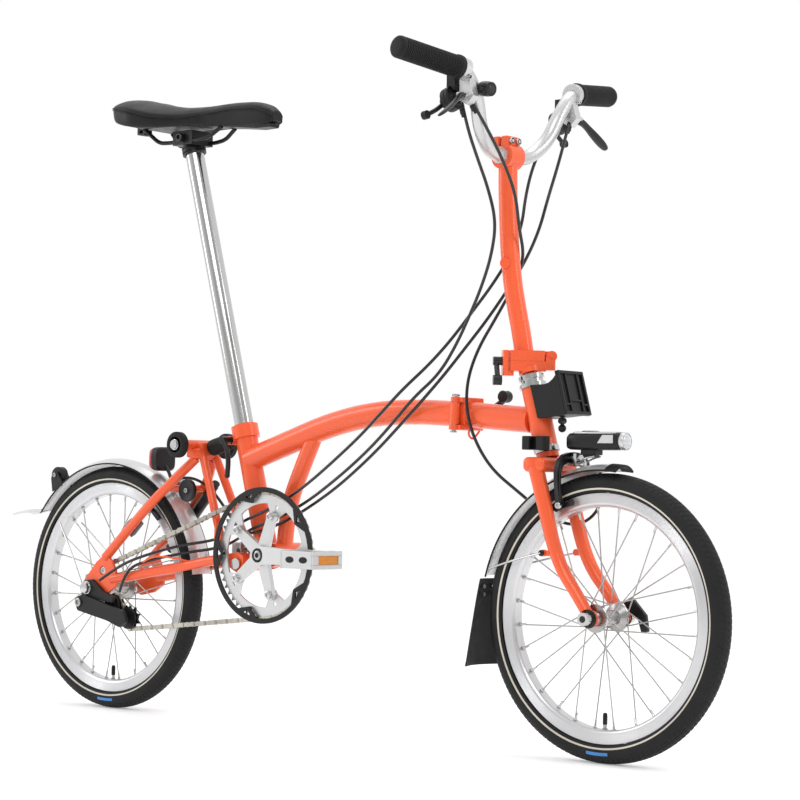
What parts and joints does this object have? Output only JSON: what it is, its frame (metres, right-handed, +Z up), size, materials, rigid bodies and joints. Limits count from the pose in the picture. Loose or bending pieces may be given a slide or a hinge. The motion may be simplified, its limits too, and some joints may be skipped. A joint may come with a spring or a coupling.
{
  "type": "folding bicycle",
  "caption": "Folding bicycle with small wheels, hinged frame and stem, rear swing arm, chain drive, mudguards and rim brakes.",
  "frame": {"origin": "on the ground, midway between the two ends of the bicycle and midway between its handlebar grips", "axes": "+X forward along the wheelbase, +Y to the rider's left, +Z up"},
  "size_m": [1.5052, 0.5308, 1.056],
  "materials": {
    "orange_paint": "glossy coral orange paint",
    "silver_alloy": "satin",
    "black_alloy": "satin black",
    "polished_steel": "polished",
    "steel": "satin",
    "black_plastic": "matte",
    "black_rubber": "matte",
    "tyre_rubber": "fine tread",
    "saddle_leather": "smooth black with a stitched side seam",
    "cable_sleeve": "satin black sleeve"
  },
  "bodies": {
    "main_body": {"main_frame": "orange_paint", "frame_hardware": "steel", "seat_clamp": "orange_paint", "rear_brake_cable": "cable_sleeve", "gear_cables": "cable_sleeve"},
    "seat": {"seatpost": "polished_steel", "saddle_frame": "black_plastic", "saddle_cover": "saddle_leather"},
    "seat_quick_lever": {"seat_lever": "silver_alloy"},
    "hinge_clamp": {"main_clamp_plate": "orange_paint"},
    "hinge_clamp_lever": {"main_clamp_lever": "black_plastic"},
    "front_body": {"front_frame": "orange_paint", "headset": "polished_steel", "head_fittings": "black_plastic"},
    "luggage_latch": {"carrier_latch": "black_plastic"},
    "steering_body": {"fork": "orange_paint", "stem_base": "orange_paint", "front_mudguard": "silver_alloy", "front_flap": "black_rubber", "fork_fittings": "black_plastic", "fork_hardware": "steel", "front_brake_cable": "cable_sleeve"},
    "caliper_front_right": {"front_arm_right": "black_alloy"},
    "caliper_front_left": {"front_arm_left": "black_alloy"},
    "front_wheel": {"front_tyre": "tyre_rubber", "front_rim": "silver_alloy", "front_hub": "silver_alloy"},
    "handlebar_stem": {"stem": "orange_paint", "handlebar": "silver_alloy", "grips": "black_rubber", "bar_controls": "black_plastic"},
    "lever_right": {"brake_lever_right": "silver_alloy"},
    "lever_left": {"brake_lever_left": "silver_alloy"},
    "gear_lever_right": {"shifter_lever_right": "black_plastic"},
    "gear_lever_left": {"shifter_lever_left": "black_plastic"},
    "stem_clamp": {"stem_clamp_plate": "orange_paint"},
    "stem_clamp_knob": {"stem_clamp_lever": "black_plastic"},
    "rear_body": {"rear_frame": "orange_paint", "suspension_block": "black_rubber", "rear_mudguard": "silver_alloy", "rear_hardware": "steel", "rear_fittings": "black_plastic", "chain": "steel"},
    "caliper_rear_right": {"rear_arm_right": "black_alloy"},
    "caliper_rear_left": {"rear_arm_left": "black_alloy"},
    "rear_wheel": {"rear_tyre": "tyre_rubber", "rear_rim": "silver_alloy", "rear_hub": "silver_alloy"},
    "rear_sprocket": {"sprocket": "steel"},
    "crankset": {"cranks": "silver_alloy", "chainring": "silver_alloy", "chain_guard": "black_plastic", "crank_hardware": "steel"},
    "right_pedal": {"pedal_right": "black_plastic"},
    "left_pedal": {"pedal_left": "black_plastic"},
    "chain_tensioner": {"tensioner_arm": "black_plastic"},
    "tensioner_wheel_upper": {"jockey_upper": "black_plastic"},
    "tensioner_wheel_lower": {"jockey_lower": "black_plastic"},
    "rolling_wheels": {"frame_rollers": "black_rubber"},
    "rolling_wheel_rear": {"guard_roller": "black_rubber"}
  },
  "joints": [
    {"name": "main_fold", "type": "hinge", "parent": "main_body", "child": "front_body", "pos_m": [0.2761, -0.028, 0.506], "axis": [0, 0.0872, 0.9962], "range_deg": [-140, 0], "deforming": ["rear_brake_cable", "gear_cables"]},
    {"name": "rear_fold", "type": "hinge", "parent": "main_body", "child": "rear_body", "pos_m": [-0.1709, 0, 0.262], "axis": [0, -1, 0], "range_deg": [-1.5, 135], "deforming": ["suspension_block", "chain"]},
    {"name": "steering", "type": "hinge", "parent": "front_body", "child": "steering_body", "pos_m": [0.41636, 0, 0.5], "axis": [-0.2731, 0, 0.962], "range_deg": [-60, 60], "deforming": ["front_brake_cable"]},
    {"name": "stem_fold", "type": "hinge", "parent": "steering_body", "child": "handlebar_stem", "pos_m": [0.41627, 0.02404, 0.592], "axis": [-0.7071, 0.7071, 0], "range_deg": [0, 165]},
    {"name": "seatpost_slide", "type": "slide", "parent": "main_body", "child": "seat", "axis": [-0.2731, 0, 0.962], "range_m": [-0.4, 0]},
    {"name": "seat_quick_release", "type": "hinge", "parent": "main_body", "child": "seat_quick_lever", "pos_m": [-0.2189, -0.028, 0.4645], "axis": [0, 1, 0], "range_deg": [-100, 0]},
    {"name": "hinge_clamp_slide", "type": "slide", "parent": "main_body", "child": "hinge_clamp", "axis": [0, 1, 0], "range_m": [0, 0.0051]},
    {"name": "hinge_clamp_turn", "type": "hinge", "parent": "hinge_clamp", "child": "hinge_clamp_lever", "pos_m": [0.2761, 0.045, 0.506], "axis": [0, 1, 0], "range_deg": [0, 1440]},
    {"name": "stem_clamp_slide", "type": "slide", "parent": "steering_body", "child": "stem_clamp", "axis": [-0.7071, -0.7071, 0], "range_m": [0, 0.0051]},
    {"name": "stem_clamp_turn", "type": "hinge", "parent": "stem_clamp", "child": "stem_clamp_knob", "pos_m": [0.3597, -0.03253, 0.584], "axis": [-0.7071, -0.7071, 0], "range_deg": [0, 1440]},
    {"name": "luggage_latch_slide", "type": "slide", "parent": "front_body", "child": "luggage_latch", "axis": [0, 0, -1], "range_m": [0, 0.006], "stiffness_N_per_m": 300},
    {"name": "right_brake_lever", "type": "hinge", "parent": "handlebar_stem", "child": "lever_right", "pos_m": [0.3741, -0.141, 0.966], "axis": [0.9585, 0, 0.2851], "range_deg": [-20, 0], "stiffness_Nm_per_rad": 2},
    {"name": "left_brake_lever", "type": "hinge", "parent": "handlebar_stem", "child": "lever_left", "pos_m": [0.3741, 0.141, 0.966], "axis": [0.9585, 0, 0.2851], "range_deg": [0, 20], "stiffness_Nm_per_rad": 2},
    {"name": "front_caliper_right", "type": "hinge", "parent": "steering_body", "child": "caliper_front_right", "pos_m": [0.4741, -0.006, 0.441], "axis": [1, 0, 0], "range_deg": [0, 0.8]},
    {"name": "front_caliper_left", "type": "hinge", "parent": "steering_body", "child": "caliper_front_left", "pos_m": [0.4821, 0.006, 0.441], "axis": [1, 0, 0], "range_deg": [-0.8, 0]},
    {"name": "rear_caliper_right", "type": "hinge", "parent": "rear_body", "child": "caliper_rear_right", "pos_m": [-0.3499, -0.006, 0.391], "axis": [1, 0, 0], "range_deg": [0, 1]},
    {"name": "rear_caliper_left", "type": "hinge", "parent": "rear_body", "child": "caliper_rear_left", "pos_m": [-0.3579, 0.006, 0.391], "axis": [1, 0, 0], "range_deg": [-1, 0]},
    {"name": "right_gear_lever", "type": "hinge", "parent": "handlebar_stem", "child": "gear_lever_right", "pos_m": [0.33336, -0.133, 0.96042], "axis": [0.9488, 0, 0.3159], "range_deg": [-15, 15]},
    {"name": "left_gear_lever", "type": "hinge", "parent": "handlebar_stem", "child": "gear_lever_left", "pos_m": [0.33336, 0.133, 0.96042], "axis": [0.9488, 0, 0.3159], "range_deg": [-15, 15]},
    {"name": "front_wheel_spin", "type": "hinge", "parent": "steering_body", "child": "front_wheel", "pos_m": [0.5431, 0, 0.2095], "axis": [0, 1, 0], "continuous": true},
    {"name": "rear_wheel_spin", "type": "hinge", "parent": "rear_body", "child": "rear_wheel", "pos_m": [-0.5019, 0, 0.2095], "axis": [0, 1, 0], "continuous": true},
    {"name": "crank_spin", "type": "hinge", "parent": "main_body", "child": "crankset", "pos_m": [-0.0999, 0, 0.2785], "axis": [0, 1, 0], "continuous": true},
    {"name": "sprocket_spin", "type": "hinge", "parent": "rear_body", "child": "rear_sprocket", "pos_m": [-0.5019, -0.045, 0.2095], "axis": [0, 1, 0], "continuous": true},
    {"name": "right_pedal_spin", "type": "hinge", "parent": "crankset", "child": "right_pedal", "pos_m": [0.0701, -0.117, 0.2785], "axis": [0, 1, 0], "continuous": true},
    {"name": "left_pedal_spin", "type": "hinge", "parent": "crankset", "child": "left_pedal", "pos_m": [-0.2699, 0.117, 0.2785], "axis": [0, 1, 0], "continuous": true},
    {"name": "tensioner_swing", "type": "hinge", "parent": "rear_body", "child": "chain_tensioner", "pos_m": [-0.5139, -0.065, 0.184], "axis": [0, 1, 0], "range_deg": [-3, 8], "stiffness_Nm_per_rad": 8, "springref_deg": -1.72, "deforming": ["chain"]},
    {"name": "upper_jockey_spin", "type": "hinge", "parent": "chain_tensioner", "child": "tensioner_wheel_upper", "pos_m": [-0.4519, -0.045, 0.18], "axis": [0, 1, 0], "continuous": true},
    {"name": "lower_jockey_spin", "type": "hinge", "parent": "chain_tensioner", "child": "tensioner_wheel_lower", "pos_m": [-0.4109, -0.045, 0.161], "axis": [0, 1, 0], "continuous": true},
    {"name": "rolling_wheels_spin", "type": "hinge", "parent": "rear_body", "child": "rolling_wheels", "pos_m": [-0.2939, 0, 0.456], "axis": [0, 1, 0], "continuous": true},
    {"name": "rolling_wheel_rear_spin", "type": "hinge", "parent": "rear_body", "child": "rolling_wheel_rear", "pos_m": [-0.6539, 0, 0.402], "axis": [0, 1, 0], "continuous": true}
  ],
  "couplings": [
    {"joint": "hinge_clamp_slide", "follows": "hinge_clamp_turn", "m_per_rad": 0.00019894},
    {"joint": "stem_clamp_slide", "follows": "stem_clamp_turn", "m_per_rad": 0.00019894},
    {"joint": "front_caliper_right", "follows": "right_brake_lever", "ratio": -0.04},
    {"joint": "front_caliper_left", "follows": "right_brake_lever", "ratio": 0.04},
    {"joint": "rear_caliper_right", "follows": "left_brake_lever", "ratio": 0.05},
    {"joint": "rear_caliper_left", "follows": "left_brake_lever", "ratio": -0.05},
    {"joint": "sprocket_spin", "follows": "crank_spin", "ratio": 3.8462},
    {"joint": "upper_jockey_spin", "follows": "crank_spin", "ratio": -5.5556},
    {"joint": "lower_jockey_spin", "follows": "crank_spin", "ratio": 5.5556}
  ]
}
